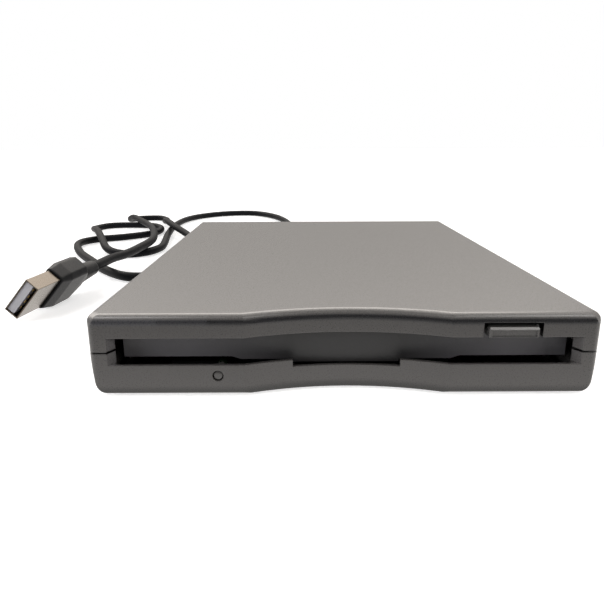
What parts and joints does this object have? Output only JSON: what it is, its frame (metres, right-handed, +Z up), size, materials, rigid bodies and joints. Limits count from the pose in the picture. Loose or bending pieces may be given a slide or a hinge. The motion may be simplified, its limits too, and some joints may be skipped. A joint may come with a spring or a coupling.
{
  "type": "external disk drive",
  "caption": "Slim two-part case round a disk mechanism, with a finger recess, hung slot flap, eject button, indicator lens and a long lead that ends in a flat plug.",
  "frame": {"origin": "centre of the case's footprint on the table, under the feet", "axes": "+X to the right across the front as the user sees it, +Y from the front face to the rear face, +Z up"},
  "size_m": [0.185, 0.3087, 0.0178],
  "materials": {
    "upper_shell": "fine satin paint, dark grey",
    "lower_shell": "fine satin paint, dark grey",
    "flap": "smooth dark grey",
    "button": "satin, as the case",
    "lens": "translucent grey",
    "feet": "matt black",
    "screws": "zinc plated",
    "lead_jacket": "soft matt black",
    "plug_moulding": "soft dark grey",
    "plug_steel": "nickel plated",
    "plug_tongue": "light grey",
    "contacts": "gold plated",
    "frame_steel": "bright zinc",
    "cage_steel": "stainless",
    "spring_steel": "drawn wire",
    "rotor_steel": "turned",
    "shaft_steel": "ground",
    "bearing_bronze": "sintered bronze",
    "copper": "enamelled copper wire",
    "carriage_plastic": "off-white",
    "head_ceramic": "polished ceramic in a dark holder",
    "board_green": "solder resist",
    "black_plastic": "moulded",
    "white_plastic": "moulded",
    "diode_green": "clear green"
  },
  "bodies": {
    "case": {"upper_case": "upper_shell", "lower_case": "lower_shell", "flap_spring": "spring_steel", "indicator_lens": "lens", "rubber_feet": "feet", "case_screws": "screws", "frame_screws": "screws", "strain_relief": "lead_jacket", "data_lead": "lead_jacket", "plug_mould": "plug_moulding", "plug_shell": "plug_steel", "plug_insert": "plug_tongue", "plug_contacts": "contacts", "mechanism_frame": "frame_steel", "mechanism_cover": "frame_steel", "slide_springs": "spring_steel", "spindle_bearing": "bearing_bronze", "stator_coils": "copper", "stepper_motor": "rotor_steel", "screw_bracket": "frame_steel", "guide_rod": "shaft_steel", "rod_bracket": "frame_steel", "lever_post": "shaft_steel", "lever_spring": "spring_steel", "front_board": "board_green", "sensor_switches": "black_plastic", "indicator_diode": "diode_green", "track_sensor": "black_plastic", "main_board": "board_green", "main_board_chips": "black_plastic", "adapter_board": "board_green", "adapter_chips": "black_plastic", "flat_cable": "white_plastic", "lead_header": "white_plastic"},
    "flap": {"slot_flap": "flap"},
    "ejector": {"eject_button": "button", "slide_plate": "cage_steel"},
    "cage": {"disk_cage": "cage_steel"},
    "spindle": {"spindle_rotor": "rotor_steel", "spindle_shaft": "shaft_steel", "drive_pin": "bearing_bronze"},
    "screw": {"lead_screw": "shaft_steel"},
    "carriage": {"head_carriage": "carriage_plastic", "lower_head": "head_ceramic", "arm_pin": "shaft_steel", "arm_spring": "contacts"},
    "head_arm": {"upper_head_arm": "cage_steel", "upper_head": "head_ceramic"},
    "lever": {"shutter_lever": "cage_steel"},
    "insert_key": {"insert_plunger": "white_plastic"},
    "protect_key": {"protect_plunger": "white_plastic"},
    "density_key": {"density_plunger": "white_plastic"}
  },
  "joints": [
    {"name": "flap_swing", "type": "hinge", "parent": "case", "child": "flap", "pos_m": [0, -0.0647, 0.0132], "axis": [1, 0, 0], "range_deg": [0, 85], "stiffness_Nm_per_rad": 0.0002, "springref_deg": -17.19, "deforming": ["flap_spring"]},
    {"name": "eject_slide", "type": "slide", "parent": "case", "child": "ejector", "axis": [0, -1, 0], "range_m": [0, 0.0045], "deforming": ["slide_springs"]},
    {"name": "cage_drop", "type": "slide", "parent": "case", "child": "cage", "axis": [0, 0, -1], "range_m": [0, 0.0016]},
    {"name": "spindle_spin", "type": "hinge", "parent": "case", "child": "spindle", "pos_m": [0, -0.014, 0.006], "axis": [0, 0, 1], "continuous": true},
    {"name": "head_step", "type": "slide", "parent": "case", "child": "carriage", "axis": [0, -1, 0], "range_m": [0, 0.0148]},
    {"name": "screw_spin", "type": "hinge", "parent": "case", "child": "screw", "pos_m": [0.018, 0.04, 0.0086], "axis": [0, 1, 0], "range_deg": [0, 1780]},
    {"name": "arm_lower", "type": "hinge", "parent": "carriage", "child": "head_arm", "pos_m": [0, 0.051, 0.0106], "axis": [1, 0, 0], "range_deg": [0, 8]},
    {"name": "lever_swing", "type": "hinge", "parent": "case", "child": "lever", "pos_m": [-0.041, 0.04, 0.0088], "axis": [0, 0, 1], "range_deg": [0, 57], "stiffness_Nm_per_rad": 0.0002, "springref_deg": -11.46, "deforming": ["lever_spring"]},
    {"name": "insert_press", "type": "slide", "parent": "case", "child": "insert_key", "axis": [0, 0, -1], "range_m": [0, 0.001], "stiffness_N_per_m": 30, "springref_m": -0.0003},
    {"name": "protect_press", "type": "slide", "parent": "case", "child": "protect_key", "axis": [0, 0, -1], "range_m": [0, 0.001], "stiffness_N_per_m": 30, "springref_m": -0.0003},
    {"name": "density_press", "type": "slide", "parent": "case", "child": "density_key", "axis": [0, 0, -1], "range_m": [0, 0.001], "stiffness_N_per_m": 30, "springref_m": -0.0003}
  ],
  "couplings": [
    {"joint": "cage_drop", "follows": "eject_slide", "ratio": 0.3555},
    {"joint": "arm_lower", "follows": "eject_slide", "rad_per_m": 31},
    {"joint": "screw_spin", "follows": "head_step", "rad_per_m": 2094}
  ]
}
